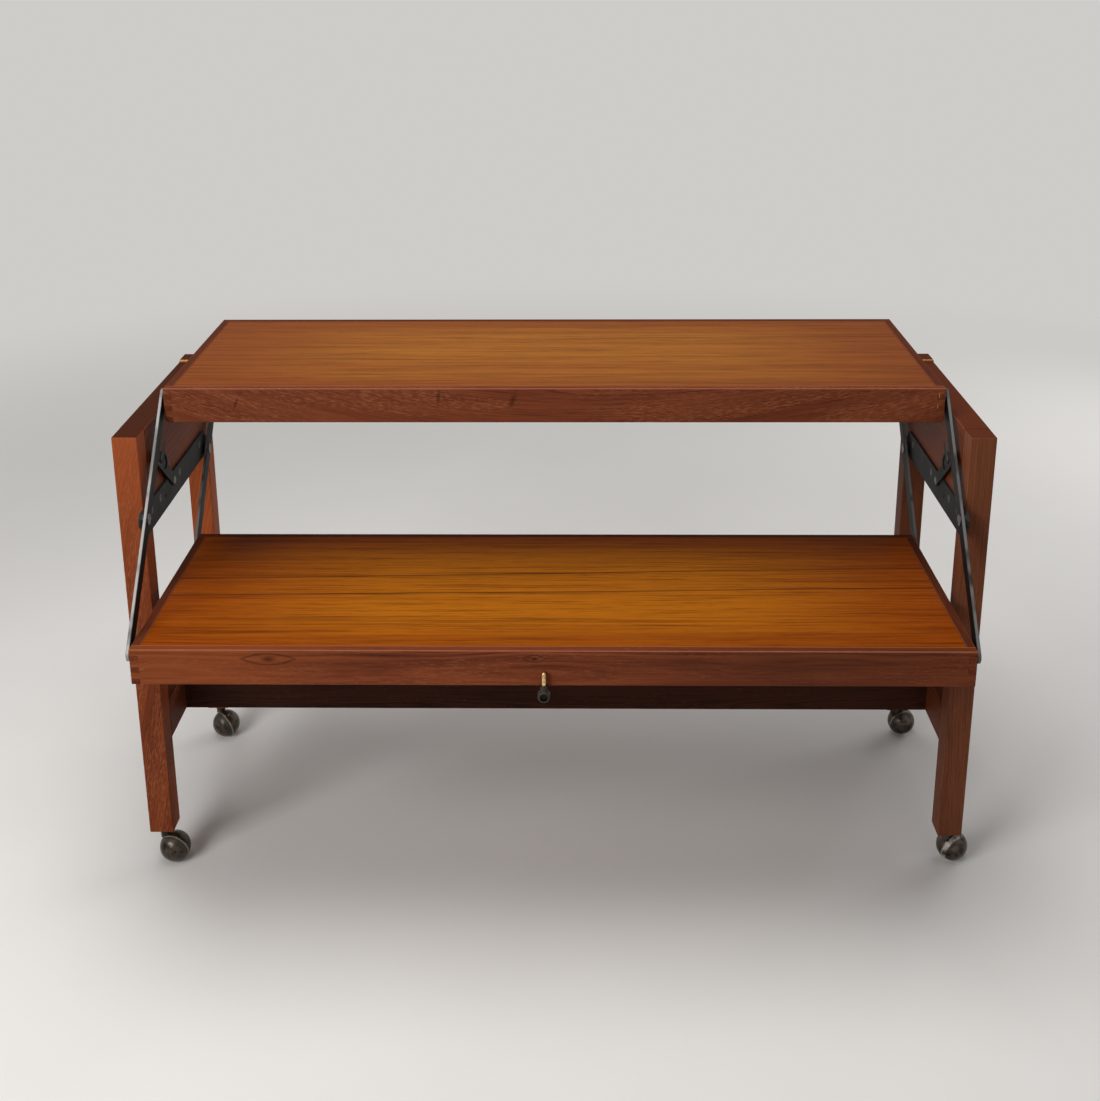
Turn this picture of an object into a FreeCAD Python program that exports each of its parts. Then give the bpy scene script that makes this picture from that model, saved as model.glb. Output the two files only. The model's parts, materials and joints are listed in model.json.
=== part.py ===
import FreeCAD, Part
import math
import os

Vec = FreeCAD.Vector

# Trays: four box-jointed boards round a veneered panel that rests on battens.
tray_length = 1000.0
tray_depth = 330.0
tray_height = 46.0
board_thickness = 11.0
board_rounding = 1.2
finger_count = 6
panel_thickness = 9.0
panel_recess = 0.3
batten_width = 18.0
batten_height = 12.0
upper_end_rounding = 7.0
lower_top = 401.5

# Swing linkage: each arm turns about its middle, and carries a tray at each end.
upper_rise = 252.0
passing_clearance = 0.5
linkage_offset = -36.7
front_pivot_inset = 16.0
front_pivot_drop = 14.0
rear_pivot_inset = 16.0
rear_pivot_step = 19.0
arm_width = 18.0
arm_thickness = 4.0
arm_chamfer = 0.5
arm_gap = 2.5
pivot_fit = 0.06
face_play = 0.05

# Pivot rails, with the studs that the arms and the stays turn on.
rail_thickness = 3.5
rail_height = 36.0
rail_front_margin = 9.0
rail_rear_margin = 12.0
rail_front_bevel = 6.0
rail_nose_cut = 20.0
rail_rear_bevel = 14.0
rail_gap = 0.25
stud_radius = 4.0
stud_head_radius = 7.0
stud_head_thickness = 1.0
spacer_radius = 8.0
spare_hole_radius = 2.5
spare_hole_reach = 98.0
screw_reaches = (36.0, 76.0, 168.0, 272.0)
screw_rise = 6.0
wood_screw_radius = 2.5
wood_screw_head_radius = 5.0
wood_screw_head_depth = 2.5
wood_screw_length = 20.0

# Stays: grooved links between the rails and the front arms, which stop the swing at both ends.
stay_thickness = 2.0
stay_gap = 0.25
stay_half_width = 7.5
stay_pivot_reach = 136.0
stay_pivot_rise = 7.0
stay_pin_reach = 87.0
stay_pin_offset = 22.0
stay_pin_radius = 3.0
stay_pin_head_radius = 5.0
stay_pin_end_play = 0.1
groove_play = 0.25
groove_wall = 3.5
groove_depth = 1.3
groove_steps = 16
stay_head_radius = 5.2
stay_head_depth = 1.2
tab_half_width = 3.2
tab_length = 23.0
tab_thickness = 1.6
ear_radius = 8.0

# Tray pivot screws and washers.
pivot_screw_radius = 3.0
pivot_screw_head_radius = 5.2
pivot_screw_head_depth = 2.2
pivot_screw_bite = 9.5
washer_radius = 8.0

# End frames and stretchers.
frame_depth = 344.0
frame_top = 616.5
leg_foot = 50.0
leg_width = 32.0
leg_rounding = 1.5
rear_leg_proud = 3.0
top_rail_height = 118.0
rail_edge_rounding = 1.2
tenon_thickness = 12.0
tenon_length = 14.0
tenon_shoulder = 18.0
stretcher_bottom = 177.0
stretcher_height = 54.0
stretcher_thickness = 22.0
stretcher_tenon_thickness = 10.0
stretcher_shoulder = 8.0
cross_rail_front = -68.0
cross_rail_tenon_length = 10.0

# Ball casters.
ball_radius = 20.5
ball_seam = 1.0
axle_tilt_deg = 14.0
caster_trail = 13.0
tread_start = 2.0
tread_end = 8.0
tread_thickness = 2.5
axle_radius = 2.5
axle_hood_depth = 9.0
axle_wheel_depth = 10.0
axle_end_play = 0.5
boss_radius = 6.5
boss_start = 13.5
boss_play = 0.6
collar_radius = 8.0
collar_bottom = 44.0
collar_play = 0.1
stem_radius = 4.0
stem_length = 36.0
socket_radius = 6.0
socket_depth = 36.0
socket_flange_radius = 10.0
socket_flange_thickness = 1.5
caster_headings_deg = {
    "front_left": -105.0,
    "front_right": -58.0,
    "rear_left": -135.0,
    "rear_right": -72.0,
}

# Turn latch on the lower tray's front board.
latch_drop = 27.5
latch_offset = -9.0
latch_rod_radius = 2.5
latch_standoff = 6.3
latch_reach = 28.0
knob_radius = 7.4
knob_length = 11.0
knob_board_gap = 0.8
knob_rounding = 2.0
knob_recess_radius = 4.8
knob_recess_depth = 2.6
knob_neck_radius = 4.3
knob_neck_length = 6.0
cam_gap = 0.3
cam_thickness = 3.0
cam_half_width = 4.2
cam_length = 12.0

cut_overrun = 5.0

# Values that follow from the sizes above.
arm_span = math.hypot(tray_depth, tray_height) + passing_clearance
swing = math.asin(upper_rise / arm_span)
setback = arm_span * math.cos(swing)
tray_end = tray_length / 2
arm_in = tray_end + arm_gap
arm_out = arm_in + arm_thickness
stay_in = arm_out + stay_gap
stay_out = stay_in + stay_thickness
rail_in = stay_out + rail_gap
leg_in = rail_in + rail_thickness
leg_out = leg_in + leg_width
leg_middle = leg_in + leg_width / 2
lower_front = linkage_offset - setback / 2 - tray_depth / 2
upper_front = lower_front + setback
upper_top = lower_top + upper_rise
frame_front = -frame_depth / 2
frame_rear = frame_depth / 2
leg_span = frame_depth / 2 - leg_width
front_low = (lower_front + front_pivot_inset, lower_top - front_pivot_drop)
rear_low = (lower_front + tray_depth - rear_pivot_inset, front_low[1] - rear_pivot_step)


def along(point, angle, distance):
    return (point[0] + distance * math.cos(angle), point[1] + distance * math.sin(angle))


def turned(point, centre, angle):
    y = point[0] - centre[0]
    z = point[1] - centre[1]
    c = math.cos(angle)
    s = math.sin(angle)
    return (centre[0] + c * y - s * z, centre[1] + s * y + c * z)


front_high = along(front_low, swing, arm_span)
rear_high = along(rear_low, swing, arm_span)
front_mid = along(front_low, swing, arm_span / 2)
rear_mid = along(rear_low, swing, arm_span / 2)
rail_middle = (front_mid[1] + rear_mid[1]) / 2
rail_bottom = rail_middle - rail_height / 2
rail_top = rail_middle + rail_height / 2
stay_pivot = (front_mid[0] + stay_pivot_reach, rail_middle + stay_pivot_rise)


def pin_at(angle):
    return along(along(front_mid, angle, stay_pin_reach), angle - math.pi / 2, stay_pin_offset)


pin_rest = pin_at(swing)


def bearing(point):
    return math.atan2(point[1] - stay_pivot[1], point[0] - stay_pivot[0]) % (2 * math.pi)


stay_turn = bearing(pin_at(0)) - bearing(pin_rest)


def box(low, high):
    size = [b - a for a, b in zip(low, high)]
    return Part.makeBox(size[0], size[1], size[2], Vec(*low))


def side_box(side, near, far, low, high):
    x = sorted((side * near, side * far))
    return box((x[0], low[0], low[1]), (x[1], high[0], high[1]))


def rod_x(side, near, far, point, radius):
    return Part.makeCylinder(radius, far - near, Vec(side * near, point[0], point[1]), Vec(side, 0, 0))


def cone_x(side, near, near_radius, far, far_radius, point):
    start = Vec(side * near, point[0], point[1])
    return Part.makeCone(near_radius, far_radius, far - near, start, Vec(side, 0, 0))


def plate_x(side, near, far, outline):
    start = min(side * near, side * far)
    points = [Vec(start, y, z) for y, z in outline]
    face = Part.Face(Part.makePolygon(points + points[:1]))
    return face.extrude(Vec(far - near, 0, 0))


def link_x(side, near, far, first, second, radius):
    start = min(side * near, side * far)
    angle = math.atan2(second[1] - first[1], second[0] - first[0])
    left = angle + math.pi / 2
    right = angle - math.pi / 2

    def at(point, direction):
        y, z = along(point, direction, radius)
        return Vec(start, y, z)

    edges = [
        Part.LineSegment(at(first, right), at(second, right)).toShape(),
        Part.Arc(at(second, right), at(second, angle), at(second, left)).toShape(),
        Part.LineSegment(at(second, left), at(first, left)).toShape(),
        Part.Arc(at(first, left), at(first, angle + math.pi), at(first, right)).toShape(),
    ]
    return Part.Face(Part.Wire(edges)).extrude(Vec(far - near, 0, 0))


def across_x(edge):
    ends = [v.Point.x for v in edge.Vertexes]
    return abs(ends[0] - ends[-1]) < face_play


def rounded_box(low, high, radius, axes):
    solid = box(low, high)
    edges = []
    for edge in solid.Edges:
        direction = edge.Vertexes[-1].Point - edge.Vertexes[0].Point
        lengths = (abs(direction.x), abs(direction.y), abs(direction.z))
        if lengths.index(max(lengths)) in axes:
            edges.append(edge)
    return solid.makeFillet(radius, edges)


def fuse(shapes):
    return shapes[0].multiFuse(shapes[1:]).removeSplitter() if len(shapes) > 1 else shapes[0]


SIDES = {"left": -1, "right": 1}


# Fasteners

def pivot_screw(side, point):
    cone_start = arm_out - pivot_screw_head_depth
    shank = rod_x(side, tray_end - pivot_screw_bite, cone_start, point, pivot_screw_radius)
    head = cone_x(side, cone_start, pivot_screw_radius, arm_out, pivot_screw_head_radius, point)
    return fuse([shank, head])


def washer(side, point):
    ring = rod_x(side, tray_end, arm_in - face_play, point, washer_radius)
    return ring.cut(rod_x(side, tray_end, arm_in, point, pivot_screw_radius))


def pivot_stud(side, point):
    head_far = arm_in - face_play
    head = rod_x(side, head_far - stud_head_thickness, head_far, point, stud_head_radius)
    return fuse([head, rod_x(side, head_far, leg_in, point, stud_radius)])


def pivot_spacer(side, point):
    ring = rod_x(side, arm_out + face_play, rail_in, point, spacer_radius)
    return ring.cut(rod_x(side, arm_out, rail_in, point, stud_radius))


def stay_stud(side):
    cone_end = stay_in + stay_head_depth
    head = cone_x(side, stay_in, stay_head_radius, cone_end, stud_radius, stay_pivot)
    return fuse([head, rod_x(side, cone_end, leg_in, stay_pivot, stud_radius)])


def stay_pin(side):
    head = rod_x(side, arm_in - tab_thickness, arm_in, pin_rest, stay_pin_head_radius)
    tab_end = along(pin_rest, swing, tab_length)
    tab = link_x(side, arm_in - tab_thickness, arm_in, pin_rest, tab_end, tab_half_width)
    tip = stay_in + groove_depth - stay_pin_end_play
    return fuse([head, tab, rod_x(side, arm_in, tip, pin_rest, stay_pin_radius)])


def rail_screw(side, reach):
    point = (front_mid[0] + reach, rail_middle + screw_rise)
    cone_end = rail_in + wood_screw_head_depth
    head = cone_x(side, rail_in, wood_screw_head_radius, cone_end, wood_screw_radius, point)
    return fuse([head, rod_x(side, cone_end, rail_in + wood_screw_length, point, wood_screw_radius)])


# Linkage

def arm(side, low, ears, holes):
    high = along(low, swing, arm_span)
    bar = link_x(side, arm_in, arm_out, low, high, arm_width / 2)
    for root, tip in ears:
        bar = fuse([bar, link_x(side, arm_in, arm_out, root, tip, ear_radius)])
    bar = bar.makeChamfer(arm_chamfer, [e for e in bar.Edges if across_x(e)])
    for point in (low, high):
        cone_start = arm_out - pivot_screw_head_depth
        bar = bar.cut(rod_x(side, arm_in - cut_overrun, arm_out, point, pivot_screw_radius + pivot_fit))
        bar = bar.cut(cone_x(side, cone_start, pivot_screw_radius + pivot_fit, arm_out,
                             pivot_screw_head_radius + pivot_fit, point))
    middle = along(low, swing, arm_span / 2)
    bar = bar.cut(rod_x(side, arm_in - cut_overrun, arm_out + cut_overrun, middle, stud_radius + pivot_fit))
    for hole in holes:
        bar = bar.cut(hole)
    return bar


def groove_path():
    points = []
    for step in range(groove_steps + 1):
        share = step / groove_steps
        points.append(turned(pin_at(swing * (1 - share)), stay_pivot, -stay_turn * share))
    return points


def stay(side):
    path = groove_path()
    bodies = [link_x(side, stay_in, stay_out, stay_pivot, path[0], stay_half_width)]
    grooves = []
    for first, second in zip(path, path[1:]):
        wall = stay_pin_radius + groove_play + groove_wall
        bodies.append(link_x(side, stay_in, stay_out, first, second, wall))
        grooves.append(link_x(side, stay_in - cut_overrun, stay_in + groove_depth, first, second,
                              stay_pin_radius + groove_play))
    plate = fuse(bodies).cut(fuse(grooves))
    cone_end = stay_in + stay_head_depth
    plate = plate.cut(cone_x(side, stay_in, stay_head_radius + pivot_fit, cone_end,
                             stud_radius + pivot_fit, stay_pivot))
    return plate.cut(rod_x(side, stay_in, stay_out, stay_pivot, stud_radius + pivot_fit))


def pivot_rail(side, fasteners):
    front = front_mid[0] - rail_front_margin
    rear = rear_mid[0] + rail_rear_margin
    outline = [
        (front, rail_bottom + rail_nose_cut),
        (front + rail_nose_cut, rail_bottom),
        (rear, rail_bottom),
        (rear, rail_top - rail_rear_bevel),
        (rear - rail_rear_bevel, rail_top),
        (front + rail_front_bevel, rail_top),
        (front, rail_top - rail_front_bevel),
    ]
    bar = plate_x(side, rail_in, leg_in, outline)
    spare = (front_mid[0] + spare_hole_reach, rail_middle)
    bar = bar.cut(rod_x(side, rail_in - cut_overrun, leg_in, spare, spare_hole_radius))
    for fastener in fasteners:
        bar = bar.cut(fastener)
    return bar


# Trays

def corner_blocks(low, high, first_finger):
    blocks = []
    finger = tray_height / finger_count
    for index in range(first_finger, finger_count, 2):
        top = high[2] - index * finger
        for x in (low[0], high[0] - board_thickness):
            for y in (low[1], high[1] - board_thickness):
                blocks.append(box((x, y, top - finger), (x + board_thickness, y + board_thickness, top)))
    return Part.makeCompound(blocks)


def end_cutters(low, high, radius):
    cutters = []
    for x, inner in ((low[0], low[0] + radius), (high[0], high[0] - radius)):
        corner = box((min(x, inner), low[1], low[2]), (max(x, inner), high[1], low[2] + radius))
        keep = Part.makeCylinder(radius, high[1] - low[1], Vec(inner, low[1], low[2] + radius), Vec(0, 1, 0))
        cutters.append(corner.cut(keep))
    return Part.makeCompound(cutters)


def tray(prefix, front, top, end_rounding, screws, extra_front_hole):
    low = (-tray_end, front, top - tray_height)
    high = (tray_end, front + tray_depth, top)
    t = board_thickness
    outer = rounded_box(low, high, board_rounding, (0, 1, 2))
    ring = outer.cut(box((low[0] + t, low[1] + t, low[2] - cut_overrun),
                         (high[0] - t, high[1] - t, high[2] + cut_overrun)))
    if end_rounding > board_rounding:
        ring = ring.cut(end_cutters(low, high, end_rounding))
    end_fingers = corner_blocks(low, high, 1)
    long_fingers = corner_blocks(low, high, 0)
    slabs = {
        "front_board": box(low, (high[0], low[1] + t, high[2])),
        "rear_board": box((low[0], high[1] - t, low[2]), high),
        "left_board": box(low, (low[0] + t, high[1], high[2])),
        "right_board": box((high[0] - t, low[1], low[2]), high),
    }
    nodes = {}
    for name, slab in slabs.items():
        fingers = end_fingers if name in ("front_board", "rear_board") else long_fingers
        nodes[prefix + name] = ring.common(slab).cut(fingers)
    if extra_front_hole:
        nodes[prefix + "front_board"] = nodes[prefix + "front_board"].cut(extra_front_hole)
    for name in ("left_board", "right_board"):
        nodes[prefix + name] = nodes[prefix + name].cut(screws)
    panel_top = top - panel_recess
    panel_bottom = panel_top - panel_thickness
    inner_low = (low[0] + t, low[1] + t)
    inner_high = (high[0] - t, high[1] - t)
    nodes[prefix + "panel"] = box(inner_low + (panel_bottom,), inner_high + (panel_top,))
    batten_bottom = panel_bottom - batten_height
    w = batten_width
    strips = [
        box(inner_low + (batten_bottom,), (inner_high[0], inner_low[1] + w, panel_bottom)),
        box((inner_low[0], inner_high[1] - w, batten_bottom), inner_high + (panel_bottom,)),
    ]
    for x in (inner_low[0], -w / 2, inner_high[0] - w):
        strips.append(box((x, inner_low[1] + w, batten_bottom), (x + w, inner_high[1] - w, panel_bottom)))
    nodes[prefix + "battens"] = Part.makeCompound(strips)
    return nodes


# Latch

latch_axis = lower_top - latch_drop
latch_front = lower_front - latch_standoff
knob_middle = latch_axis - latch_reach


def latch_rod():
    rear = lower_front + board_thickness + cam_gap + cam_thickness
    corner = Vec(latch_offset, latch_front, latch_axis)
    spindle = Part.makeCylinder(latch_rod_radius, rear - latch_front, corner, Vec(0, 1, 0))
    elbow = Part.makeSphere(latch_rod_radius, corner)
    drop = Part.makeCylinder(latch_rod_radius, latch_reach, Vec(latch_offset, latch_front, knob_middle))
    return fuse([spindle, elbow, drop])


def latch_knob(rod):
    rear = lower_front - knob_board_gap
    front = rear - knob_length
    knob = Part.makeCylinder(knob_radius, knob_length, Vec(latch_offset, front, knob_middle), Vec(0, 1, 0))
    knob = knob.makeFillet(knob_rounding, [e for e in knob.Edges if len(e.Vertexes) == 1])
    neck = Part.makeCylinder(knob_neck_radius, knob_radius + knob_neck_length,
                             Vec(latch_offset, latch_front, knob_middle))
    recess = Part.makeCylinder(knob_recess_radius, knob_recess_depth + cut_overrun,
                               Vec(latch_offset, front - cut_overrun, knob_middle), Vec(0, 1, 0))
    return fuse([knob, neck]).cut(recess).cut(rod)


def latch_cam(rod):
    near = lower_front + board_thickness + cam_gap
    hub = Part.makeCylinder(cam_half_width, cam_thickness, Vec(latch_offset, near, latch_axis), Vec(0, 1, 0))
    arm_low = latch_axis - cam_length
    blade = box((latch_offset - cam_half_width, near, arm_low),
                (latch_offset + cam_half_width, near + cam_thickness, latch_axis))
    return fuse([hub, blade]).cut(rod)


def latch_hole():
    return Part.makeCylinder(latch_rod_radius + pivot_fit, board_thickness + 2 * cut_overrun,
                             Vec(latch_offset, lower_front - cut_overrun, latch_axis), Vec(0, 1, 0))


# End frames

def leg_place(side, rear):
    y = frame_rear - leg_width / 2 if rear else frame_front + leg_width / 2
    return side * leg_middle, y


def top_rail(side):
    bottom = frame_top - top_rail_height
    x = sorted((side * leg_in, side * leg_out))
    board = rounded_box((x[0], -leg_span, bottom), (x[1], leg_span, frame_top), rail_edge_rounding, (1,))
    half = tenon_thickness / 2
    tenon = side_box(side, leg_middle - half, leg_middle + half,
                     (-leg_span - tenon_length, bottom + tenon_shoulder),
                     (leg_span + tenon_length, frame_top - tenon_shoulder))
    return fuse([board, tenon])


def side_stretcher(side):
    top = stretcher_bottom + stretcher_height
    x = sorted((side * leg_in, side * (leg_in + stretcher_thickness)))
    board = rounded_box((x[0], -leg_span, stretcher_bottom), (x[1], leg_span, top), rail_edge_rounding, (1,))
    middle = leg_in + stretcher_thickness / 2
    half = stretcher_tenon_thickness / 2
    tenon = side_box(side, middle - half, middle + half,
                     (-leg_span - tenon_length, stretcher_bottom + stretcher_shoulder),
                     (leg_span + tenon_length, top - stretcher_shoulder))
    return fuse([board, tenon])


def cross_rail():
    top = stretcher_bottom + stretcher_height
    rear = cross_rail_front + stretcher_thickness
    board = rounded_box((-leg_in, cross_rail_front, stretcher_bottom), (leg_in, rear, top),
                        rail_edge_rounding, (0,))
    middle = (cross_rail_front + rear) / 2
    half = stretcher_tenon_thickness / 2
    reach = leg_in + cross_rail_tenon_length
    tenon = box((-reach, middle - half, stretcher_bottom + stretcher_shoulder),
                (reach, middle + half, top - stretcher_shoulder))
    return fuse([board, tenon])


def leg(side, rear, joined):
    x, y = leg_place(side, rear)
    half = leg_width / 2
    low = (x - half, y - half, leg_foot)
    top = frame_top + rear_leg_proud if rear else frame_top
    high = (x + half, y + half, top)
    post = rounded_box(low, high, leg_rounding, (0, 1, 2))
    for piece in joined:
        post = post.cut(piece)
    return post


# Casters

def caster_socket(x, y):
    flange = Part.makeCylinder(socket_flange_radius, socket_flange_thickness,
                               Vec(x, y, leg_foot - socket_flange_thickness))
    sleeve = Part.makeCylinder(socket_radius, socket_depth, Vec(x, y, leg_foot))
    bore = Part.makeCylinder(stem_radius + pivot_fit, socket_depth + cut_overrun,
                             Vec(x, y, leg_foot - cut_overrun))
    return fuse([flange, sleeve]).cut(bore)


def socket_hole(x, y):
    return Part.makeCylinder(socket_radius, socket_depth, Vec(x, y, leg_foot))


def ball_zone(low, high, radius=ball_radius):
    size = 2 * radius
    slab = box((-size, -size, low), (size, size, high))
    return Part.makeSphere(radius).common(slab)


def caster(name, x, y):
    heading = math.radians(caster_headings_deg[name])
    tilt = math.radians(axle_tilt_deg)
    pole = Vec(math.cos(heading) * math.cos(tilt), math.sin(heading) * math.cos(tilt), -math.sin(tilt))
    centre = Vec(x - caster_trail * math.sin(heading), y + caster_trail * math.cos(heading), ball_radius)
    place = FreeCAD.Placement(centre, FreeCAD.Rotation(Vec(0, 0, 1), pole))
    axle = Part.makeCylinder(axle_radius, axle_hood_depth + axle_wheel_depth, Vec(0, 0, -axle_hood_depth))
    bore = Part.makeCylinder(axle_radius + pivot_fit, axle_wheel_depth + axle_end_play)
    tread = ball_zone(tread_start, tread_end).cut(Part.makeSphere(ball_radius - tread_thickness))
    wheel = ball_zone(ball_seam / 2, ball_radius).cut(tread).cut(bore)
    hood = ball_zone(-ball_radius, -ball_seam / 2).cut(axle)
    wheel_room = ball_zone(-ball_seam / 2, ball_radius + boss_play, ball_radius + boss_play)
    for shape in (axle, tread, wheel, hood, wheel_room):
        shape.Placement = place
    boss = Part.makeCylinder(boss_radius, collar_bottom - ball_radius - boss_start,
                             Vec(x, y, ball_radius + boss_start))
    boss = boss.cut(wheel_room)
    collar_top = leg_foot - socket_flange_thickness - collar_play
    collar = Part.makeCylinder(collar_radius, collar_top - collar_bottom, Vec(x, y, collar_bottom))
    stem = Part.makeCylinder(stem_radius, stem_length, Vec(x, y, collar_top))
    prefix = "caster_" + name
    nodes = {
        prefix + "_hood": fuse([hood, boss, collar, stem]),
        prefix + "_axle": axle,
        prefix + "_wheel": wheel,
        prefix + "_tread": tread,
    }
    return nodes, centre, pole


# Assembly

def assemble():
    nodes = {}
    joints = {}
    sockets = []
    screws = []
    studs = []
    spacers = []
    stay_studs = []
    tray_screws = {"upper_": [], "lower_": []}
    tray_washers = {"upper_": [], "lower_": []}
    cross = cross_rail()
    for side_name, side in SIDES.items():
        rail_screws = [rail_screw(side, reach) for reach in screw_reaches]
        side_studs = [pivot_stud(side, point) for point in (front_mid, rear_mid)]
        link_stud = stay_stud(side)
        screws += rail_screws
        studs += side_studs
        spacers += [pivot_spacer(side, point) for point in (front_mid, rear_mid)]
        stay_studs.append(link_stud)
        nodes["pivot_rail_" + side_name] = pivot_rail(side, rail_screws + side_studs + [link_stud])
        pin = stay_pin(side)
        pin_ear = (along(front_mid, swing, stay_pin_reach), pin_rest)
        nodes["arm_front_" + side_name] = arm(side, front_low, [pin_ear], [pin])
        nodes["arm_rear_" + side_name] = arm(side, rear_low, [], [])
        nodes["stay_pin_" + side_name] = pin
        nodes["stay_" + side_name] = stay(side)
        for prefix, points in (("lower_", (front_low, rear_low)), ("upper_", (front_high, rear_high))):
            tray_screws[prefix] += [pivot_screw(side, point) for point in points]
            tray_washers[prefix] += [washer(side, point) for point in points]
        rail = top_rail(side)
        stretcher = side_stretcher(side)
        for rear_name, rear in (("front", False), ("rear", True)):
            name = rear_name + "_" + side_name
            x, y = leg_place(side, rear)
            joined = [rail, stretcher, socket_hole(x, y)] + rail_screws
            nodes["leg_" + name] = leg(side, rear, joined)
            sockets.append(caster_socket(x, y))
            pieces, centre, pole = caster(name, x, y)
            nodes.update(pieces)
            joints["swivel " + name] = Vec(x, y, leg_foot)
            joints["roll " + name] = centre
            joints["axis " + name] = pole
        for piece in rail_screws:
            rail = rail.cut(piece)
        nodes["top_rail_" + side_name] = rail
        nodes["side_stretcher_" + side_name] = stretcher.cut(cross)
    nodes["cross_rail"] = cross
    nodes["rail_screws"] = Part.makeCompound(screws)
    nodes["pivot_studs"] = Part.makeCompound(studs)
    nodes["pivot_spacers"] = Part.makeCompound(spacers)
    nodes["stay_studs"] = Part.makeCompound(stay_studs)
    nodes["caster_sockets"] = Part.makeCompound(sockets)
    for prefix, front, top, rounding, hole in (
            ("upper_", upper_front, upper_top, upper_end_rounding, None),
            ("lower_", lower_front, lower_top, board_rounding, latch_hole())):
        bite = Part.makeCompound(tray_screws[prefix])
        nodes.update(tray(prefix, front, top, rounding, bite, hole))
        nodes[prefix + "pivot_screws"] = bite
        nodes[prefix + "pivot_washers"] = Part.makeCompound(tray_washers[prefix])
    rod = latch_rod()
    nodes["latch_rod"] = rod
    nodes["latch_knob"] = latch_knob(rod)
    nodes["latch_cam"] = latch_cam(rod)
    for name, point, near in (("front arm", front_mid, arm_in), ("rear arm", rear_mid, arm_in),
                              ("upper tray", front_high, arm_in), ("lower tray", front_low, arm_in),
                              ("stay", stay_pivot, stay_in)):
        joints[name] = Vec(near, point[0], point[1])
    joints["latch"] = Vec(latch_offset, lower_front, latch_axis)
    return nodes, joints


def centred(nodes):
    whole = FreeCAD.BoundBox()
    for shape in nodes.values():
        whole.add(shape.optimalBoundingBox(False))
    return Vec(-whole.Center.x, -whole.Center.y, -whole.ZMin)


def main():
    nodes, joints = assemble()
    shift = centred(nodes)
    os.makedirs("parts", exist_ok=True)
    for name, shape in nodes.items():
        shape.translate(shift)
        shape.exportStep("parts/" + name + ".step")
        kind = "ok" if shape.isValid() else "INVALID"
        print(name, kind, len(shape.Solids), round(shape.Volume))
    for name, point in joints.items():
        value = point if name.startswith("axis") else point + shift
        print("joint", name, [round(c, 6) for c in (value.x, value.y, value.z)])
    print("swing", math.degrees(swing), "stay", math.degrees(stay_turn), "ratio", stay_turn / swing)
    print("shift", shift, "nodes", len(nodes))


main()
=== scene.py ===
# %% [markdown]
# # A teak tea trolley with two swinging trays
#
# The trolley carries two box-jointed trays on parallel steel arms. The shapes come ready made from the
# construction model, so this lesson is mostly about finishes: oiled teak, golden veneer, black
# steel, old brass and the dark casters. Wear, stains and knots are part of the finishes.

# %% Load the construction model
import json
import math

import bpy
from mathutils import Matrix, Vector


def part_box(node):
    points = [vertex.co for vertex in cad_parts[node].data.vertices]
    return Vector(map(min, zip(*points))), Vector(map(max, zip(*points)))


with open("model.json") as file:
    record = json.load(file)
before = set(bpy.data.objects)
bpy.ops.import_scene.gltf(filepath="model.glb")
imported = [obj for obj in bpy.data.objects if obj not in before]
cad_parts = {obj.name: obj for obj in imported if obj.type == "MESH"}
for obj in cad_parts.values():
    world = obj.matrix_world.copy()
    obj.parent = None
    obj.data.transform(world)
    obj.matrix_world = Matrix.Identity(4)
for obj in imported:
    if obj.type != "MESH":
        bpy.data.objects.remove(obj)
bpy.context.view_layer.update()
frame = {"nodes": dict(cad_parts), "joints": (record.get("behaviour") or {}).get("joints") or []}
pieces = frame["nodes"]
bpy.ops.object.select_all(action="DESELECT")

# %% [markdown]
# ## A bench for mixing finishes
#
# Every finish is a node tree that reads Object coordinates. All objects sit at the origin with their
# place in the mesh, so those coordinates are metres in the trolley's own frame. A small class keeps
# the node code short: each method adds one node and hands back its output socket.

# %% The finish bench
def srgb(red, green, blue):
    """A colour seen in 0-255 steps, as the linear values that a shader takes."""
    shares = [c / 255 for c in (red, green, blue)]
    return tuple(c / 12.92 if c <= 0.04045 else ((c + 0.055) / 1.055) ** 2.4 for c in shares) + (1.0,)


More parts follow.
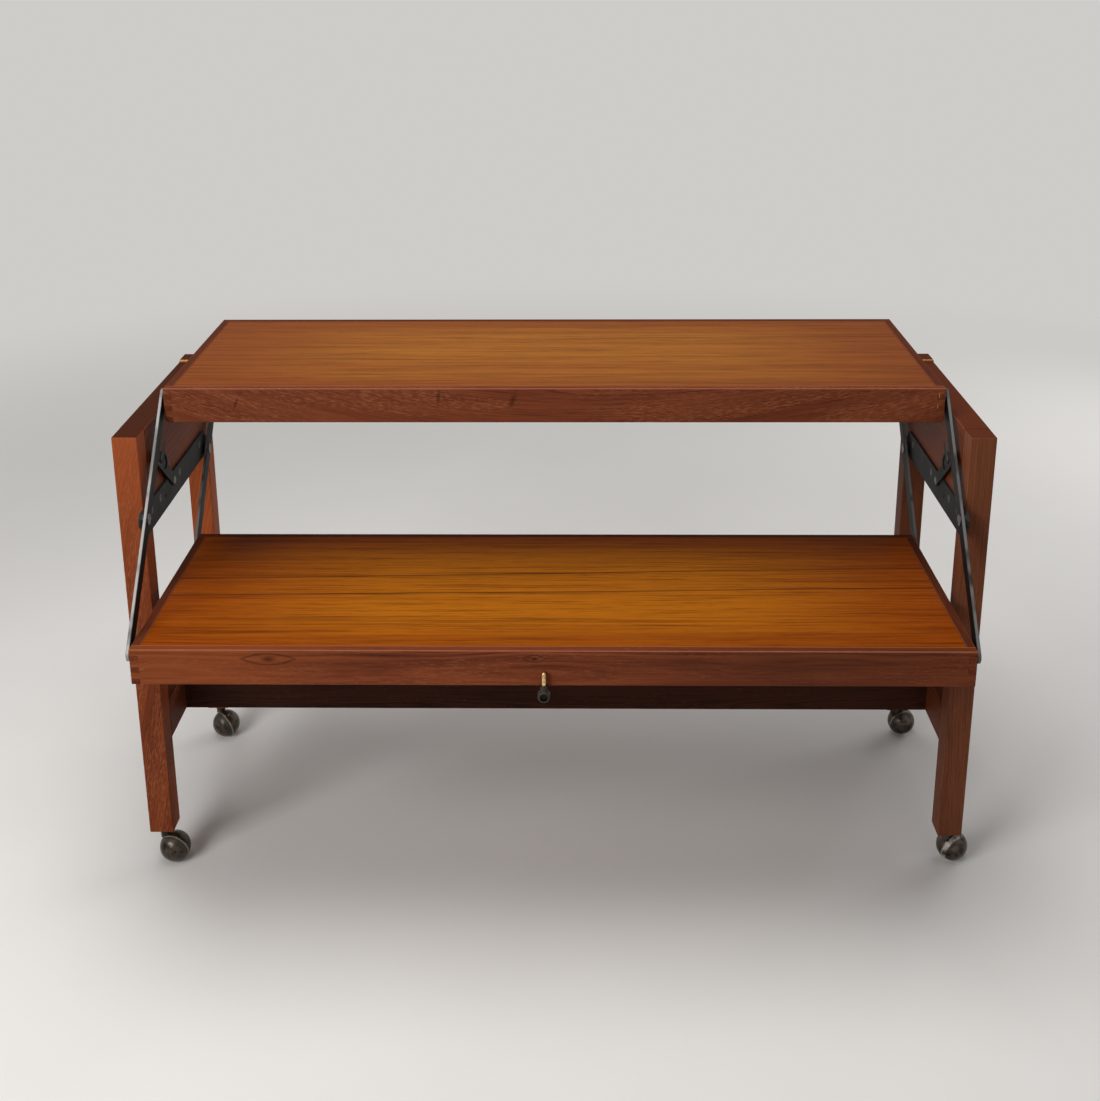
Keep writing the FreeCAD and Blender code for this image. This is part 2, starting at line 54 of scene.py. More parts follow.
class Finish:
    """One material on the bench, with short ways to add nodes to its tree."""

    def __init__(self, name):
        self.material = bpy.data.materials.new(name)
        self.material.use_nodes = True
        self.tree = self.material.node_tree
        self.shader = self.tree.nodes["Principled BSDF"]
        coordinates = self.tree.nodes.new("ShaderNodeTexCoord")
        self.place = coordinates.outputs["Object"]
        self.facing = coordinates.outputs["Normal"]

    def feed(self, socket, value):
        if isinstance(value, bpy.types.NodeSocket):
            self.tree.links.new(value, socket)
        elif value is not None:
            socket.default_value = value

    def add(self, kind, values=(), **settings):
        node = self.tree.nodes.new("ShaderNode" + kind)
        for key, value in settings.items():
            setattr(node, key, value)
        for socket, value in zip(node.inputs, values):
            self.feed(socket, value)
        return node

    def calc(self, operation, *values):
        return self.add("Math", values, operation=operation).outputs[0]

    def split(self, vector):
        return self.add("SeparateXYZ", [vector]).outputs

    def join(self, x, y, z):
        return self.add("CombineXYZ", [x, y, z]).outputs[0]

    def moved(self, place, scale=(1, 1, 1), shift=(0, 0, 0), turn=(0, 0, 0)):
        return self.add("Mapping", [place, shift, turn, scale]).outputs[0]

    def noise(self, place, detail=2.0, roughness=0.5, scale=1.0):
        node = self.add("TexNoise", noise_dimensions="3D")
        self.feed(node.inputs["Vector"], place)
        node.inputs["Scale"].default_value = scale
        node.inputs["Detail"].default_value = detail
        node.inputs["Roughness"].default_value = roughness
        return node.outputs[0]

    def step(self, value, low, high):
        """0 below low, 1 above high, and smooth between them."""
        node = self.add("MapRange", [value, low, high, 0.0, 1.0], interpolation_type="SMOOTHSTEP")
        return node.outputs[0]

    def mix(self, share, first, second):
        node = self.add("Mix", data_type="RGBA")
        self.feed(node.inputs[0], share)
        self.feed(node.inputs[6], first)
        self.feed(node.inputs[7], second)
        return node.outputs[2]

    def between(self, share, low, high):
        """A number that goes from low to high with share."""
        return self.calc("MULTIPLY_ADD", share, high - low, low)

    def near_edges(self, edges, width, ragged):
        """1 along each edge, an edge being two (axis, value) planes that meet, and 0 past width."""
        xyz = self.split(self.place)
        nearest = None
        for (axis_a, value_a), (axis_b, value_b) in edges:
            off_a = self.calc("SUBTRACT", xyz[axis_a], value_a)
            off_b = self.calc("SUBTRACT", xyz[axis_b], value_b)
            off = self.add("VectorMath", [self.join(off_a, off_b, 0.0)], operation="LENGTH").outputs["Value"]
            nearest = off if nearest is None else self.calc("MINIMUM", nearest, off)
        reach = self.between(ragged, width * 0.35, width)
        return self.calc("SUBTRACT", 1.0, self.step(self.calc("DIVIDE", nearest, reach), 0.35, 1.0))

    def colour(self, value):
        self.feed(self.shader.inputs["Base Color"], value)

    def gloss(self, value):
        self.feed(self.shader.inputs["Roughness"], value)

    def sheen(self, value):
        self.feed(self.shader.inputs["Specular IOR Level"], value)

    def relief(self, height, depth, strength):
        node = self.add("Bump")
        node.inputs["Strength"].default_value = strength
        node.inputs["Distance"].default_value = depth
        self.feed(node.inputs["Height"], height)
        self.tree.links.new(node.outputs[0], self.shader.inputs["Normal"])

    def on(self, *names):
        for name in names:
            slots = pieces[name].data.materials
            slots.clear()
            slots.append(self.material)
        return self


print("bench ready")

# %% [markdown]
# ## Solid teak
#
# The boards and the frame are old oiled teak: orange brown, with uneven growth rings, fine fibre and short
# pale pores where wax has settled. One function makes it for any board. It lays the coordinates along
# the grain, lets the grain wander, and cuts rings round an imagined heart beside the board, so that
# the figure meets every face as sawn wood does. A knot is a bulge in the ring distance, so the rings
# flow round it. Ends across the grain turn a little darker, faces that look up are made darker and duller,
# and the upper edges get a pale line, partly worn by handling and partly painted highlight on the arris.

# %% Teak boards
GRAIN_ORDER = {"X": (0, 1, 2), "Y": (1, 0, 2), "Z": (2, 0, 1)}
PALE_TEAK = srgb(126, 65, 37)
DARK_TEAK = srgb(77, 34, 19)
PORE_WAX = srgb(154, 94, 61)
WORN_AND_HIGHLIT_EDGE = srgb(156, 94, 67)
END_GRAIN = srgb(73, 34, 20)
UP_FACE_TONE = srgb(61, 29, 18)
STAIN = srgb(37, 16, 10)
GLUE = srgb(192, 142, 87)
WOOD_SHEEN, DULLED_SHEEN, VENEER_SHEEN, PAINT_SHEEN, KNOB_SHEEN = 0.06, 0.01, 0.025, 0.1, 0.15


def worn_and_highlit_edges(name, along):
    """The long edges that hands rub and that get a painted highlight: all of a leg's, the upper ones of a
    board.
    """
    low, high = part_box(name)
    _, a, b = GRAIN_ORDER[along]
    tops = (low[b], high[b]) if along == "Z" else (high[b],)
    return [((a, va), (b, vb)) for va in (low[a], high[a]) for vb in tops]


def from_spot(f, middle, size, lean=0.0):
    """How far a point of a board's front is from a place, in shares of a size, along X and up."""
    x, y, z = f.split(f.place)
    off_z = f.calc("SUBTRACT", z, middle[1])
    off_x = f.calc("SUBTRACT", f.calc("SUBTRACT", x, middle[0]), f.calc("MULTIPLY", off_z, lean))
    return f.calc("DIVIDE", off_x, size[0]), f.calc("DIVIDE", off_z, size[1])


def spot(f, middle, size, lean=0.0):
    """1 at a place on the board's front, 0 outside an ellipse of that size round it."""
    place = f.join(*from_spot(f, middle, size, lean), 0.0)
    reach = f.add("VectorMath", [place], operation="LENGTH").outputs["Value"]
    return f.calc("SUBTRACT", 1.0, f.step(reach, 0.0, 1.0))


def eye_knot(f, colour, middle, size, ragged):
    """A knot cut lengthwise: a dark line shaped like an eye, with a dark heart."""
    across, rise = from_spot(f, middle, size)
    lens = f.calc("ADD", f.calc("ABSOLUTE", rise), f.calc("MULTIPLY", across, across))
    lens = f.calc("MULTIPLY_ADD", ragged, 0.7, lens)
    rim = f.calc("SUBTRACT", 1.0, f.step(f.calc("ABSOLUTE", f.calc("SUBTRACT", lens, 1.35)), 0.02, 0.28))
    colour = f.mix(f.calc("MULTIPLY", rim, 0.55), colour, STAIN)
    return f.mix(f.calc("MULTIPLY", spot(f, middle, (size[0] * 0.4, size[1] * 0.8)), 0.75), colour, STAIN)


RING_WIDTH = 0.0045


def teak(name, along, seed, pale=PALE_TEAK, dark=DARK_TEAK, heart=(0.05, -0.03), sweep=(0.0, 0.0), lean=0.0,
         wander=0.016, pores=(0.3, 0.58), worn_and_highlit_width=0.0014, worn_and_highlit_share=0.45, up_share=0.6, up_tone=UP_FACE_TONE,
         end_share=0.6, knots=(), eyes=(), marks=(), joints=()):
    f = Finish("teak_" + name)
    u, v, w = (f.split(f.place)[i] for i in GRAIN_ORDER[along])
    if sweep[0]:
        off = f.calc("SUBTRACT", u, sweep[1])
        w = f.calc("SUBTRACT", w, f.calc("MULTIPLY", f.calc("MULTIPLY", off, off), sweep[0]))
    if lean:
        v = f.calc("SUBTRACT", v, f.calc("MULTIPLY", u, lean))
    shift = (seed * 1.7, seed * 0.61, seed * 0.37)
    sway = f.between(f.noise(f.moved(f.join(u, v, w), (2.2, 9, 9), shift), 2.0), -wander, wander)
    grain = f.join(u, f.calc("ADD", v, sway), f.calc("ADD", w, sway))
    low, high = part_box(name)
    middle = [(low[i] + high[i]) / 2 for i in GRAIN_ORDER[along]]
    trunk = f.moved(grain, (0.0, 1.0, 1.0), (0, heart[0] - middle[1], heart[1] - middle[2]), (0, 0.03, 0.05))
    radius = f.add("VectorMath", [trunk], operation="LENGTH").outputs["Value"]
    for knot, size, bulge in knots:
        radius = f.calc("MULTIPLY_ADD", spot(f, knot, size), bulge, radius)
    rings = f.add("TexNoise", noise_dimensions="1D")
    f.feed(rings.inputs["W"], f.calc("MULTIPLY_ADD", radius, 1 / RING_WIDTH, seed * 3.1))
    rings.inputs["Detail"].default_value = 3.0
    rings.inputs["Roughness"].default_value = 0.6
    fibre = f.noise(f.moved(grain, (11, 380, 380), shift), 3.0, 0.65)
    broad = f.noise(f.moved(grain, (2.0, 26, 26), shift), 2.0)
    tone = f.calc("MULTIPLY_ADD", rings.outputs[0], 0.45,
                 f.calc("MULTIPLY_ADD", fibre, 0.4, f.calc("MULTIPLY", broad, 0.35)))
    colour = f.mix(f.step(tone, 0.4, 0.8), dark, pale)
    drift = f.noise(f.moved(grain, (6, 40, 40), shift), 1.0)
    dashes = f.step(f.noise(f.moved(grain, (105, 920, 920), shift), 1.0), pores[1], pores[1] + 0.12)
    waxed = f.calc("MULTIPLY", dashes, f.step(drift, 0.35, 0.62))
    colour = f.mix(f.calc("MULTIPLY", waxed, pores[0]), colour, PORE_WAX)
    for place, size, mark_lean, share, mark in marks:
        colour = f.mix(f.calc("MULTIPLY", spot(f, place, size, mark_lean), share), colour, mark)
    for place, size in eyes:
        colour = eye_knot(f, colour, place, size, fibre)
    axis = tuple(1.0 if i == GRAIN_ORDER[along][0] else 0.0 for i in range(3))
    across = f.add("VectorMath", [f.facing, axis], operation="DOT_PRODUCT").outputs["Value"]
    end = f.step(f.calc("ABSOLUTE", across), 0.6, 0.9)
    colour = f.mix(f.calc("MULTIPLY", end, end_share), colour, f.mix(fibre, END_GRAIN, dark))
    # Faces that look up are made darker and duller.
    up = f.step(f.split(f.facing)[2], 0.6, 0.95)
    colour = f.mix(f.calc("MULTIPLY", up, up_share), colour, up_tone)
    # A pale line along the long edges: partly worn by handling, partly painted highlight on the arris.
    edge_noise = f.noise(f.moved(f.place, (45, 45, 45), shift), 3.0, 0.7)
    worn_and_highlit_mask = f.near_edges(worn_and_highlit_edges(name, along), worn_and_highlit_width, edge_noise)
    colour = f.mix(f.calc("MULTIPLY", worn_and_highlit_mask, worn_and_highlit_share), colour, WORN_AND_HIGHLIT_EDGE)
    if joints:
        colour = f.mix(f.calc("MULTIPLY", f.near_edges(joints, 0.005, edge_noise), 0.9), colour, GLUE)
    f.colour(colour)
    f.gloss(f.between(fibre, 0.42, 0.6))
    f.sheen(f.between(up, WOOD_SHEEN, DULLED_SHEEN))
    f.relief(f.calc("SUBTRACT", fibre, waxed), 0.00025, 0.45)
    return f.on(name)


up_low, up_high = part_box("upper_front_board")
down_low, down_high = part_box("lower_front_board")
joint_x = up_high[0] - 0.0082
upper_marks = [((up_low[0] + 0.093, up_high[2] - 0.020), (0.0022, 0.013), 0.4, 0.7, STAIN),
               ((up_low[0] + 0.099, up_high[2] - 0.006), (0.008, 0.0035), 0.0, 0.4, STAIN),
               ((up_low[0] + 0.3535, up_high[2] - 0.012), (0.0042, 0.014), 0.1, 0.65, STAIN),
               ((up_low[0] + 0.4487, up_high[2] - 0.016), (0.006, 0.014), 0.3, 0.6, STAIN)]
glue_marks = [((joint_x, up_high[2] - 0.0095), (0.0011, 0.0056), 0.0, 1.0, GLUE),
              ((joint_x - 0.0012, up_high[2] - 0.0245), (0.0011, 0.0046), 0.0, 1.0, GLUE)]
teak("upper_front_board", "X", 1.0, pale=srgb(128, 67, 41), dark=srgb(84, 37, 22), sweep=(0.34, 0.04),
     pores=(0.5, 0.5), worn_and_highlit_width=0.0022, worn_and_highlit_share=0.8, up_share=0.2, marks=upper_marks + glue_marks,
     knots=[((up_high[0] - 0.0085, up_low[2] + 0.0075), (0.018, 0.012), 0.012)])
knot_place = (down_low[0] + 0.165, down_high[2] - 0.0118)
small_knot_place = (down_low[0] + 0.480, down_high[2] - 0.0105)
# The first two marks make the board paler on the left and darker on the right: painted light and shade.
lower_marks = [((down_low[0] + 0.07, down_high[2] - 0.015), (0.24, 0.06), 0.0, 0.45, srgb(150, 77, 36)),
               ((down_high[0] - 0.18, down_high[2] - 0.02), (0.38, 0.09), 0.0, 0.45, srgb(39, 23, 17)),
               ((down_low[0] + 0.305, down_high[2] - 0.007), (0.085, 0.006), 0.0, 0.4, STAIN),
               ((down_low[0] + 0.0135, down_high[2] - 0.0255), (0.0055, 0.0016), 0.0, 0.9, srgb(126, 97, 48))]
teak("lower_front_board", "X", 2.3, pale=srgb(132, 67, 38), dark=srgb(79, 35, 20), heart=(0.11, 0.012),
     wander=0.006, pores=(0.3, 0.55), worn_and_highlit_width=0.0022, worn_and_highlit_share=0.8, up_share=0.2, marks=lower_marks,
     eyes=[(knot_place, (0.032, 0.0068)), (small_knot_place, (0.013, 0.0045))])
for count, name in enumerate(("upper_rear_board", "lower_rear_board")):
    teak(name, "X", 3.1 + count, heart=(0.04, 0.02))
end_tones = {"upper_left_board": 0.35, "lower_left_board": 0.18}
end_boards = ("upper_left_board", "upper_right_board", "lower_left_board", "lower_right_board")
for count, name in enumerate(end_boards):
    teak(name, "Y", 5.2 + count, dark=srgb(73, 32, 19), end_share=end_tones.get(name, 0.1),
         marks=glue_marks if name == "upper_right_board" else ())
# Partly painted light: the rear left leg is made paler and the rear right leg darker, as if lit from the left.
leg_tones = {"front_left": (srgb(138, 67, 34), srgb(88, 38, 19), (0.55, 0.5)),
             "front_right": (srgb(126, 73, 47), srgb(85, 46, 30), (0.25, 0.58)),
             "rear_left": (srgb(169, 85, 41), srgb(116, 53, 27), (0.4, 0.55)),
             "rear_right": (srgb(106, 59, 37), srgb(68, 36, 23), (0.25, 0.58))}
up_face_tones = {"left": srgb(51, 24, 14), "right": srgb(85, 40, 23)}
for count, (corner, (pale, dark, flecks)) in enumerate(leg_tones.items()):
    leg_low, leg_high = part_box("leg_" + corner)
    joint_lines = [((1, leg_low[1]), (2, leg_high[2]))] if corner.startswith("rear") else []
    lean = 0.25 if corner.endswith("left") else 0.0
    painted_light_top = []
    # Painted light: the front left leg is made paler towards its top, as if lit from the front left.
    if corner == "front_left":
        painted_light_top = [((leg_low[0], leg_high[2]), (0.2, 0.3), 0.0, 0.5, srgb(169, 84, 43))]
    teak("leg_" + corner, "Z", 9.4 + count, pale=pale, dark=dark, heart=(0.06, 0.03), lean=lean, pores=flecks,
         worn_and_highlit_share=0.3, up_share=0.85, up_tone=up_face_tones[corner.split("_")[1]], marks=painted_light_top, joints=joint_lines)
for count, side in enumerate(("left", "right")):
    teak("top_rail_" + side, "Y", 14.2 + count, up_share=0.85, up_tone=up_face_tones[side])
    teak("side_stretcher_" + side, "Y", 16.7 + count, pale=srgb(113, 57, 33), worn_and_highlit_share=0.3)
# Painted shade: the cross rail is made much darker than the other teak, for the shadow under the trays.
teak("cross_rail", "X", 19.3, pale=srgb(63, 31, 19), dark=srgb(34, 15, 10), heart=(0.03, 0.02),
     pores=(0.08, 0.58), worn_and_highlit_share=0.2)
print("teak on", sum(m.name.startswith("teak_") for m in bpy.data.materials), "pieces")

# %% [markdown]
# ## Veneered panels
#
# The tray tops are straight-grained veneer, deep amber, with thin lines that run the whole length.
# Stretched noise at several widths gives the bands, the lines and the pores. Towards the rims the colour turns
# redder and darker: partly the veneer's own colour, partly painted shade where light falls off from the middle.
# Two thin dark seams run along the lower panel, a little aslant, where strips of veneer meet. A dark line round
# each panel is the glue joint with the boards and painted shade in the gap beside them.
# The battens below are plain beech.

# %% Veneer and battens
def veneer(name, golden, red, dark, seed, seams=()):
    f = Finish("veneer_" + name)
    shift = (seed, seed * 0.7, 0.0)
    low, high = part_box(name)
    x, y, z = f.split(f.place)
    sway = f.between(f.noise(f.moved(f.place, (1.5, 6, 1), shift), 1.0), -0.006, 0.006)
    y = f.calc("ADD", y, sway)
    grain = f.join(x, y, z)
    bands = f.noise(f.moved(grain, (0.7, 30, 1), shift), 2.0, 0.55)
    streaks = f.noise(f.moved(grain, (1.6, 130, 1), shift), 3.0, 0.6)
    lines = f.noise(f.moved(grain, (6, 330, 1), (shift[0] + 3, shift[1], 0)), 4.0, 0.7)
    pores = f.step(f.noise(f.moved(grain, (38, 900, 1), shift), 1.0), 0.55, 0.7)
    # Redder, darker rims: partly the veneer's own colour, partly painted shade where light falls off from the
    # middle.
    rims = []
    for axis, place, reach in ((0, x, 0.36), (1, y, 0.12)):
        to_low = f.calc("SUBTRACT", place, low[axis])
        to_high = f.calc("SUBTRACT", high[axis], place)
        wavy = f.calc("MULTIPLY_ADD", bands, 0.09, f.calc("MINIMUM", to_low, to_high))
        rims.append(f.step(wavy, 0.02, reach))
    colour = f.mix(f.calc("MULTIPLY", *rims), red, golden)
    colour = f.mix(f.calc("MULTIPLY", f.step(bands, 0.45, 0.75), 0.55), colour, red)
    colour = f.mix(f.calc("MULTIPLY", f.step(streaks, 0.5, 0.75), 0.5), colour, dark)
    colour = f.mix(f.calc("MULTIPLY", f.step(lines, 0.47, 0.68), 0.65), colour, dark)
    colour = f.mix(f.calc("MULTIPLY", f.step(lines, 0.5, 0.3), 0.3), colour, golden)
    colour = f.mix(f.calc("MULTIPLY", pores, 0.35), colour, dark)
    for place, lean in seams:
        off = f.calc("ABSOLUTE", f.calc("SUBTRACT", y, f.between(x, place, place + lean)))
        seam = f.calc("SUBTRACT", 1.0, f.step(off, 0.0006, 0.0022))
        colour = f.mix(f.calc("MULTIPLY", seam, 0.7), colour, srgb(58, 25, 8))
    # A dark line round the panel: the glue joint and painted shade in the gap beside the boards.
    joints = [((axis, edge[axis]), (2, high[2])) for edge in (low, high) for axis in (0, 1)]
    joint_and_gap_shade = f.near_edges(joints, 0.0012, bands)
    f.colour(f.mix(f.calc("MULTIPLY", joint_and_gap_shade, 0.6), colour, srgb(53, 22, 12)))
    f.gloss(f.between(lines, 0.42, 0.58))
    f.sheen(VENEER_SHEEN)
    f.relief(lines, 0.00012, 0.35)
    return f.on(name)


veneer("upper_panel", srgb(152, 92, 31), srgb(125, 63, 24), srgb(82, 39, 14), 0.0)
lower_middle = (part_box("lower_panel")[0][1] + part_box("lower_panel")[1][1]) / 2
veneer("lower_panel", srgb(166, 95, 13), srgb(133, 59, 7), srgb(79, 33, 4), 4.0,
       seams=[(lower_middle + 0.041, 0.036), (lower_middle - 0.012, 0.025)])

strips = Finish("batten_beech")
streak = strips.noise(strips.moved(strips.place, (12, 240, 240)), 3.0)
strips.colour(strips.mix(streak, srgb(108, 77, 51), srgb(145, 114, 82)))
strips.gloss(strips.between(streak, 0.55, 0.75))
strips.relief(streak, 0.0003, 0.4)
strips.on("upper_battens", "lower_battens")
print("veneer and battens done")

# %% [markdown]
# ## Painted steel
#
# Arms, rails and stays are flat bar under thin black paint. On the faces the paint is whole, with faint
# dust. The narrow edges are grey: partly paint worn to metal where hands and trays rub, partly a painted
# highlight on the lit edge, most of all on the front left arm, whose paler edge tone is painted highlight.
# The normal tells the two apart: the bar's faces look along X, its edges do not.

# %% Black steel
def black_paint(name, bare_and_highlit_share, names, bare_and_highlit_tone=srgb(116, 115, 113)):
    f = Finish(name)
    grit = f.noise(f.place, 4.0, 0.6, 140.0)
    smudge = f.noise(f.place, 2.0, 0.5, 22.0)
    flat = f.calc("ABSOLUTE", f.split(f.facing)[0])
    edge = f.calc("SUBTRACT", 1.0, f.step(flat, 0.55, 0.9))
    # Grey narrow edges: partly paint worn to metal, partly painted highlight on the lit edge.
    bare_and_highlit = f.calc("MULTIPLY", f.calc("MULTIPLY", edge, f.step(smudge, 0.25, 0.5)), bare_and_highlit_share)
    tint = f.mix(f.step(grit, 0.45, 0.8), srgb(8, 8, 8), srgb(21, 20, 20))
    f.colour(f.mix(bare_and_highlit, tint, bare_and_highlit_tone))
    f.gloss(f.between(smudge, 0.45, 0.62))
    f.sheen(PAINT_SHEEN)
    f.feed(f.shader.inputs["Metallic"], f.calc("MULTIPLY", bare_and_highlit, 0.4))
    f.relief(grit, 0.0001, 0.3)
    return f.on(*names)


# The front left arm's paler edge tone is painted highlight.
black_paint("bright_worn_arm", 0.9, ["arm_front_left"], srgb(161, 159, 156))
black_paint("worn_highlit_black_arms", 0.8, ["arm_front_right", "arm_rear_left", "arm_rear_right"])
black_paint("black_rails", 0.12, ["pivot_rail_left", "pivot_rail_right", "stay_left", "stay_right"])
black_paint("worn_highlit_black_pins", 0.5, [n for n in pieces if n.startswith("stay_pin")])
print("black steel on arms, rails and stays")

# %% [markdown]
# ## Fasteners and brass
#
# Screws on the rails are blackened with the rails, while the tray screws are old bright steel. The latch rod
# and the leg sockets are brass gone brown in places, and the latch ends in a dark knob.

# %% Metal finishes
def metal(name, bright, dull, gloss, spot_scale, names, metallic=1.0):
    f = Finish(name)
    spots = f.noise(f.place, 4.0, 0.6, spot_scale)
    mark = f.step(spots, 0.42, 0.68)
    f.colour(f.mix(mark, bright, dull))
    f.gloss(f.between(mark, *gloss))
    f.shader.inputs["Metallic"].default_value = metallic
    f.relief(spots, 0.00008, 0.3)
    return f.on(*names)


metal("blackened_screws", srgb(40, 39, 38), srgb(22, 21, 21), (0.4, 0.6), 260.0,
      ["rail_screws", "pivot_spacers"], metallic=0.6)
metal("worn_studs", srgb(96, 94, 90), srgb(44, 42, 40), (0.35, 0.55), 260.0, ["pivot_studs", "stay_studs"])
metal("bright_steel", srgb(190, 188, 182), srgb(104, 98, 90), (0.28, 0.5), 260.0,
      [n for n in pieces if n.endswith(("_pivot_screws", "_washers", "_axle", "latch_cam"))])
metal("old_brass", srgb(222, 196, 142), srgb(170, 134, 84), (0.25, 0.5), 320.0, ["latch_rod", "caster_sockets"])
knob_low, knob_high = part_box("latch_knob")
knob_turn = (knob_high[0] - knob_low[0]) / 2
knob = Finish("dark_knob")
knob_middle = ((knob_low[0] + knob_high[0]) / 2, knob_low[2] + knob_turn)
off_x, off_z = from_spot(knob, knob_middle, (knob_turn, knob_turn))
out = knob.add("VectorMath", [knob.join(off_x, off_z, 0.0)], operation="LENGTH").outputs["Value"]
front = knob.step(knob.split(knob.facing)[1], 0.2, -0.7)
grime = knob.noise(knob.place, 4.0, 0.6, 260.0)
rim = knob.calc("MULTIPLY", knob.step(out, 0.62, 0.72), front)
# Painted shade: the knob's recessed centre is made near black.
hollow_shade = knob.calc("MULTIPLY", knob.step(out, 0.7, 0.62), front)
body = knob.mix(grime, srgb(8, 7, 6), srgb(20, 17, 15))
rimmed = knob.mix(knob.calc("MULTIPLY", rim, 0.8), body, srgb(67, 55, 49))
knob.colour(knob.mix(hollow_shade, rimmed, srgb(6, 6, 5)))
knob.gloss(knob.between(grime, 0.3, 0.5))
knob.sheen(KNOB_SHEEN)
knob.relief(grime, 0.0001, 0.3)
knob.on("latch_knob")
print("screws, brass and knob done")

# %% [markdown]
# ## Ball casters
#
# Each caster is a cast ball in two halves, near black, with a tread ring let into the rolling half. The finish
# measures how far a point lies along the wheel's own axle, which the roll joint gives, and uses that distance
# to draw the worn ring where the halves meet, another on the tread, and the faint lines left by the lathe.

# %% Casters
BALL_BRIGHT, BALL_DULL, RING_WORN = srgb(88, 77, 67), srgb(31, 28, 25), srgb(168, 156, 134)
tread_tones = {"front_left": srgb(58, 52, 45), "front_right": srgb(176, 169, 164),
               "rear_left": srgb(50, 47, 43), "rear_right": srgb(48, 46, 44)}
SEAM_RINGS = [(0.0009, 0.0008, 0.6)]
TREAD_RINGS = [(0.0025, 0.0009, 0.8)]


def caster_finish(corner, part, bright, dull, metallic, gloss, rings):
    roll = next(j for j in frame["joints"] if j["name"] == corner + "_roll")
    f = Finish("caster_%s_%s" % (part, corner))
    off = f.add("VectorMath", [f.place, roll["pos_m"]], operation="SUBTRACT").outputs[0]
    depth = f.add("VectorMath", [off, roll["axis"]], operation="DOT_PRODUCT").outputs["Value"]
    patina = f.noise(f.place, 4.0, 0.65, 85.0)
    colour = f.mix(f.step(patina, 0.36, 0.66), bright, dull)
    for middle, width, share in rings:
        apart = f.calc("ABSOLUTE", f.calc("SUBTRACT", depth, middle))
        ring = f.calc("SUBTRACT", 1.0, f.step(apart, width * 0.4, width))
        colour = f.mix(f.calc("MULTIPLY", ring, share), colour, RING_WORN)
    f.colour(colour)
    f.gloss(f.between(patina, *gloss))
    f.shader.inputs["Metallic"].default_value = metallic
    lathe = f.add("TexNoise", noise_dimensions="1D")
    f.feed(lathe.inputs["W"], f.calc("MULTIPLY", depth, 1400.0))
    f.relief(f.calc("MULTIPLY_ADD", patina, 1.5, lathe.outputs[0]), 0.00006, 0.35)
    return f.on("caster_%s_%s" % (corner, part))


for corner, tread_tone in tread_tones.items():
    caster_finish(corner, "hood", BALL_BRIGHT, BALL_DULL, 0.8, (0.22, 0.42), [])
    caster_finish(corner, "wheel", BALL_BRIGHT, BALL_DULL, 0.8, (0.16, 0.38), SEAM_RINGS)
    caster_finish(corner, "tread", tread_tone, srgb(44, 41, 38), 0.2, (0.4, 0.6), TREAD_RINGS)
bare_nodes = [n for n, o in pieces.items() if not o.data.materials or not o.data.materials[0].use_nodes]
print("casters done, pieces without a finish:", bare_nodes)

# %% [markdown]
# ## Floor, light and camera
#
# A plain pale floor and soft light keep the wood's colour true. One large lamp hangs overhead, a second
# stands in front on the left, so that the left boards are brighter, and a weak third stands low behind on the
# right and shows in no reflection. Far from the trolley the floor turns into one even pale tone for whatever
# the camera or a reflection sees, so no horizon shows, while near it the floor keeps the soft shadow. The
# camera stands where the picture was taken: above the trays, looking down.

# %% Studio
PALE_AIR, DIM_AIR = srgb(206, 204, 201), (0.087, 0.091, 0.096, 1.0)
FLOOR_WIDTH, FADE_START, FADE_END = 40.0, 0.9, 3.2
bpy.ops.mesh.primitive_plane_add(size=FLOOR_WIDTH, location=(0, 0, 0))
floor = bpy.context.object
floor.name = "studio_floor"
ground = Finish("pale_floor")
cloud = ground.noise(ground.place, 3.0, 0.5, 3.0)
ground.colour(ground.mix(cloud, srgb(222, 219, 215), srgb(230, 227, 223)))
ground.gloss(ground.between(cloud, 0.6, 0.7))
from_middle = ground.add("VectorMath", [ground.place], operation="LENGTH").outputs["Value"]


def seen_rays(tree):
    """1 for rays from the camera and for those that a shiny or clear piece sends on."""
    path = tree.nodes.new("ShaderNodeLightPath").outputs
    seen = path["Is Camera Ray"]
    for kind in ("Is Glossy Ray", "Is Transmission Ray"):
        larger = tree.nodes.new("ShaderNodeMath")
        larger.operation = "MAXIMUM"
        tree.links.new(seen, larger.inputs[0])
        tree.links.new(path[kind], larger.inputs[1])
        seen = larger.outputs[0]
    return seen


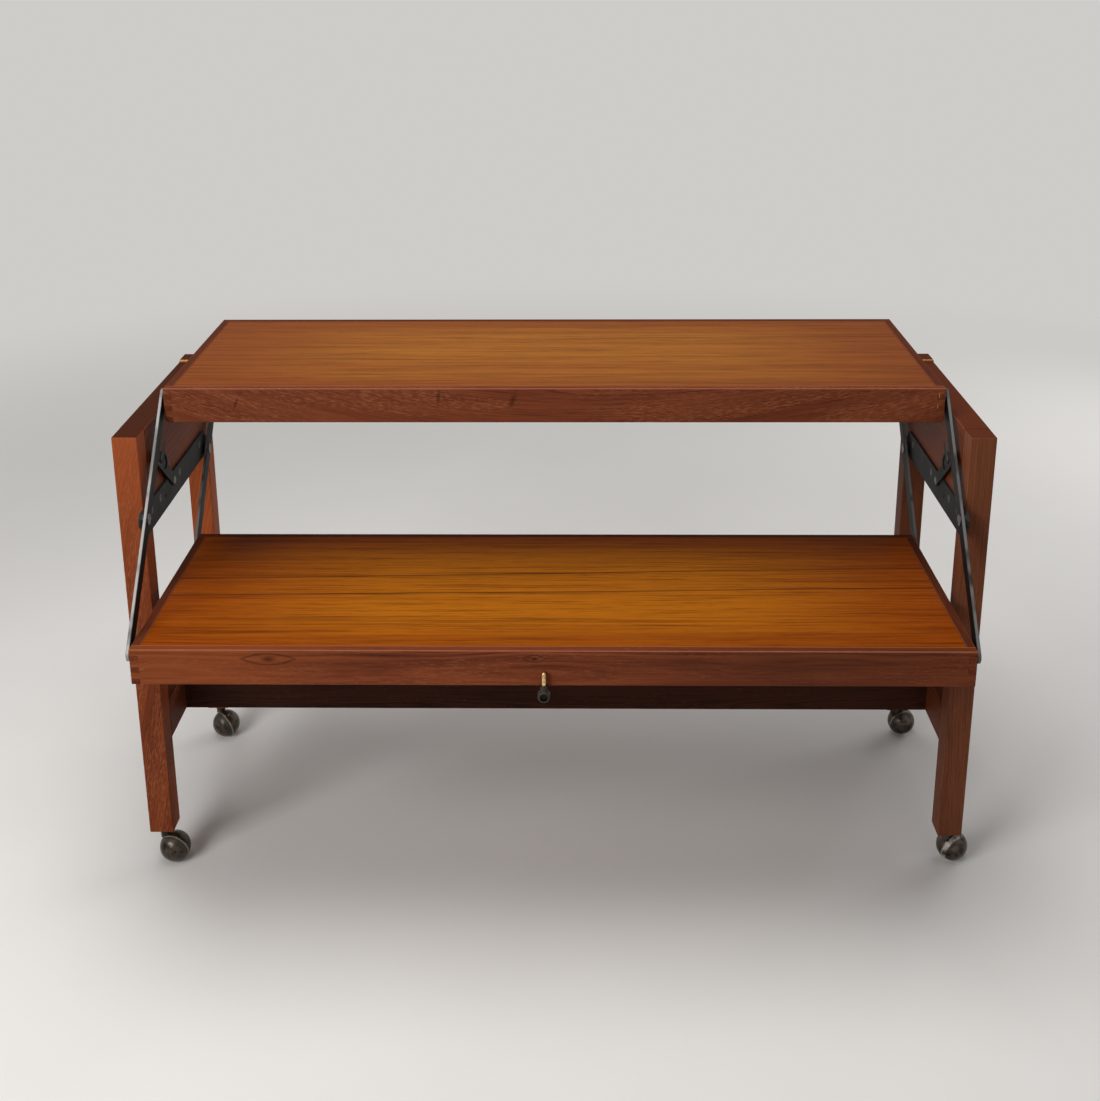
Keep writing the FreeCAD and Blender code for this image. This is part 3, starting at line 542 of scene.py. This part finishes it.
even_tone = ground.add("Emission", [PALE_AIR, 1.0]).outputs[0]
far_share = ground.calc("MULTIPLY", ground.step(from_middle, FADE_START, FADE_END), seen_rays(ground.tree))
blend = ground.add("MixShader", [far_share, ground.shader.outputs[0], even_tone])
ground.tree.links.new(blend.outputs[0], ground.tree.nodes["Material Output"].inputs["Surface"])
floor.data.materials.append(ground.material)


def lamp(name, place, target, size, power):
    bpy.ops.object.light_add(type="AREA", location=place)
    light = bpy.context.object
    light.name = name
    light.data.shape = "RECTANGLE"
    light.data.size, light.data.size_y = size
    light.data.energy = power
    light.rotation_euler = (Vector(target) - Vector(place)).to_track_quat("-Z", "Y").to_euler()
    return light


lamp("overhead_lamp", (-0.2, -0.1, 2.9), (0, 0, 0.3), (2.2, 1.5), 55.0)
lamp("front_lamp", (-1.6, -1.8, 1.6), (0, 0, 0.35), (1.2, 1.0), 37.7)
back_lamp = lamp("back_lamp", (2.1, 1.7, 0.8), (0, 0, 0.35), (1.6, 0.6), 20.3)
back_lamp.visible_glossy = False
world = bpy.data.worlds.new("studio_air")
bpy.context.scene.world = world
world.use_nodes = True
air = world.node_tree
sky = air.nodes.new("ShaderNodeMix")
sky.data_type = "RGBA"
sky.inputs[6].default_value = DIM_AIR
sky.inputs[7].default_value = PALE_AIR
air.links.new(seen_rays(air), sky.inputs[0])
air.links.new(sky.outputs[2], air.nodes["Background"].inputs["Color"])

picture_height, focal_pixels, axis_row = 1101, 1393.17, 340.0
sensor_width = 36.0
look_down, look_left, roll = math.radians(16.4), math.radians(0.91), math.radians(-0.3)
bpy.ops.object.camera_add(location=(0.0152, -1.7359, 1.2144))
camera = bpy.context.object
camera.name = "picture_camera"
turn = Matrix.Rotation(look_left, 3, "Z") @ Matrix.Rotation(math.pi / 2 - look_down, 3, "X") \
    @ Matrix.Rotation(roll, 3, "Z")
camera.rotation_euler = turn.to_euler()
camera.data.sensor_width = sensor_width
camera.data.lens = sensor_width * focal_pixels / picture_height
camera.data.shift_y = (axis_row - picture_height / 2) / picture_height
bpy.context.scene.camera = camera
bpy.context.scene.view_settings.view_transform = "Standard"
print("lens", round(camera.data.lens, 2), "shift", round(camera.data.shift_y, 4))
